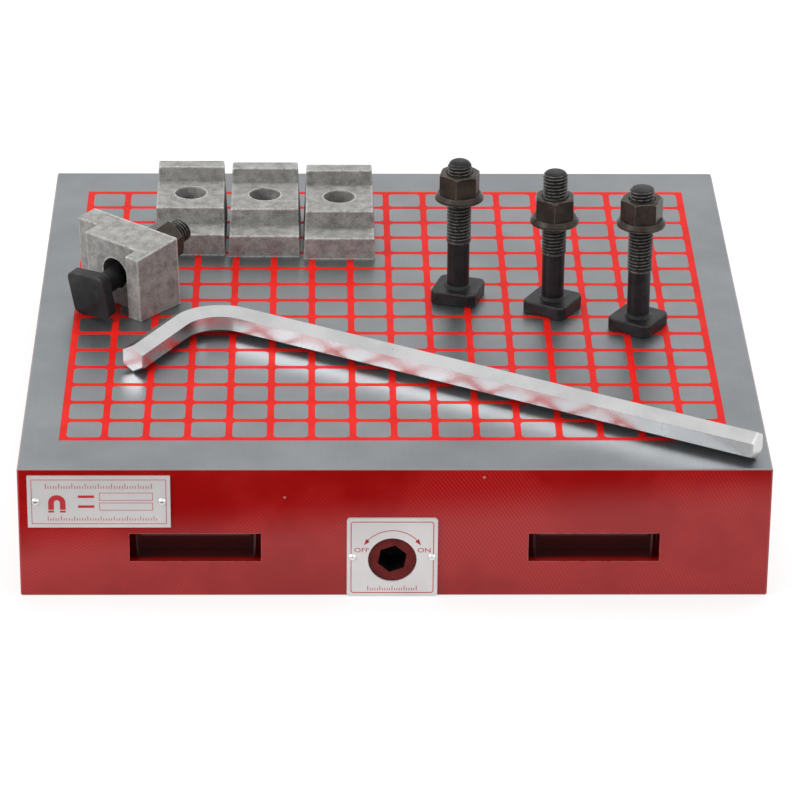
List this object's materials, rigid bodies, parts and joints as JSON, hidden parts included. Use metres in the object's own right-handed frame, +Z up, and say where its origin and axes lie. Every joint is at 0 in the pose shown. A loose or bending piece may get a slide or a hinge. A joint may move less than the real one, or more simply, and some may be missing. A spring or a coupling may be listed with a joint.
{
  "type": "magnetic chuck",
  "caption": "Square permanent magnetic chuck with a steel pole grid in red resin, a front key-turned shaft that shifts the magnet pack, and loose stepped clamps, T-bolts, nuts and key.",
  "frame": {"origin": "centre of the chuck's bottom face", "axes": "+X right seen from the front, +Y to the back, +Z up"},
  "size_m": [0.4, 0.4024, 0.161],
  "materials": {
    "housing_paint": "deep red gloss paint on milled sides, ground bare steel on top",
    "panel_resin": "bright red cast resin, ground flush",
    "pole_steel": "surface-ground mild steel",
    "plain_steel": "turned or milled steel",
    "screw_steel": "black high-tensile screws",
    "bronze": "bronze bush and brass slides",
    "seal_rubber": "black nitrile",
    "magnet": "dark sintered magnet",
    "pin_steel": "hardened bright pins and ring",
    "plate_aluminium": "satin printed plate",
    "rivet_aluminium": "bright rivets",
    "shaft_red": "dark red painted nose, bright steel inside",
    "key_plate": "satin nickel plate",
    "block_cast": "grainy grey cast steel",
    "bolt_black": "black oxide",
    "nut_black": "brown-black oxide"
  },
  "bodies": {
    "chuck": {"housing": "housing_paint", "resin_grid": "panel_resin", "pole_blocks": "pole_steel", "base_plate": "plain_steel", "base_screws": "screw_steel", "slide_strips": "bronze", "strip_screws": "screw_steel", "shaft_bush": "bronze", "thrust_washer": "bronze", "stop_pins": "pin_steel", "nameplate": "plate_aluminium", "nameplate_rivets": "rivet_aluminium", "dial_plate": "plate_aluminium", "dial_rivets": "rivet_aluminium"},
    "shaft": {"eccentric_shaft": "shaft_red", "o_ring": "seal_rubber", "retaining_ring": "pin_steel", "crank_roller": "pin_steel"},
    "pack": {"pack_carrier": "plain_steel", "tie_bar_screws": "screw_steel", "pack_tie_bars": "plain_steel", "pack_pole_bars": "pole_steel", "pack_magnets": "magnet", "drive_yoke": "plain_steel", "yoke_screws": "screw_steel"},
    "key": {"hex_key": "key_plate"},
    "block_1": {"clamp_block_1": "block_cast"},
    "bolt_1": {"t_bolt_1": "bolt_black"},
    "nut_1": {"collar_nut_1": "nut_black"},
    "block_2": {"clamp_block_2": "block_cast"},
    "bolt_2": {"t_bolt_2": "bolt_black"},
    "nut_2": {"collar_nut_2": "nut_black"},
    "block_3": {"clamp_block_3": "block_cast"},
    "bolt_3": {"t_bolt_3": "bolt_black"},
    "nut_3": {"collar_nut_3": "nut_black"},
    "block_4": {"clamp_block_4": "block_cast"},
    "bolt_4": {"t_bolt_4": "bolt_black"},
    "nut_4": {"collar_nut_4": "nut_black"}
  },
  "joints": [
    {"name": "shaft_turn", "type": "hinge", "parent": "chuck", "child": "shaft", "pos_m": [-0.0013, -0.19, 0.0223], "axis": [0, 1, 0], "range_deg": [0, 180]},
    {"name": "pack_shift", "type": "slide", "parent": "chuck", "child": "pack", "axis": [1, 0, 0], "range_m": [0, 0.0111]},
    {"name": "key_lift", "type": "slide", "parent": "chuck", "child": "key", "axis": [0, 0, 1], "range_m": [0, 0.1]},
    {"name": "block_1_lift", "type": "slide", "parent": "chuck", "child": "block_1", "axis": [0, 0, 1], "range_m": [0, 0.1]},
    {"name": "block_2_lift", "type": "slide", "parent": "chuck", "child": "block_2", "axis": [0, 0, 1], "range_m": [0, 0.1]},
    {"name": "block_3_lift", "type": "slide", "parent": "chuck", "child": "block_3", "axis": [0, 0, 1], "range_m": [0, 0.1]},
    {"name": "block_4_lift", "type": "slide", "parent": "chuck", "child": "block_4", "axis": [0, 0, 1], "range_m": [0, 0.1]},
    {"name": "bolt_1_lift", "type": "slide", "parent": "chuck", "child": "bolt_1", "axis": [0, 0, 1], "range_m": [0, 0.1]},
    {"name": "bolt_2_lift", "type": "slide", "parent": "chuck", "child": "bolt_2", "axis": [0, 0, 1], "range_m": [0, 0.1]},
    {"name": "bolt_3_lift", "type": "slide", "parent": "chuck", "child": "bolt_3", "axis": [0, 0, 1], "range_m": [0, 0.1]},
    {"name": "bolt_4_slide", "type": "slide", "parent": "block_4", "child": "bolt_4", "axis": [0.6089, 0.7794, 0.1478], "range_m": [0, 0.012]},
    {"name": "nut_1_run", "type": "slide", "parent": "bolt_1", "child": "nut_1", "axis": [0, 0, 1], "range_m": [-0.0256, 0.0234]},
    {"name": "nut_2_run", "type": "slide", "parent": "bolt_2", "child": "nut_2", "axis": [0, 0, 1], "range_m": [-0.0181, 0.0309]},
    {"name": "nut_3_run", "type": "slide", "parent": "bolt_3", "child": "nut_3", "axis": [0, 0, 1], "range_m": [-0.027, 0.022]},
    {"name": "nut_4_run", "type": "slide", "parent": "bolt_4", "child": "nut_4", "axis": [0.6089, 0.7794, 0.1478], "range_m": [-0.005, 0.0275]}
  ],
  "couplings": [
    {"joint": "shaft_turn", "follows": "pack_shift", "rad_per_m": 283.03}
  ]
}
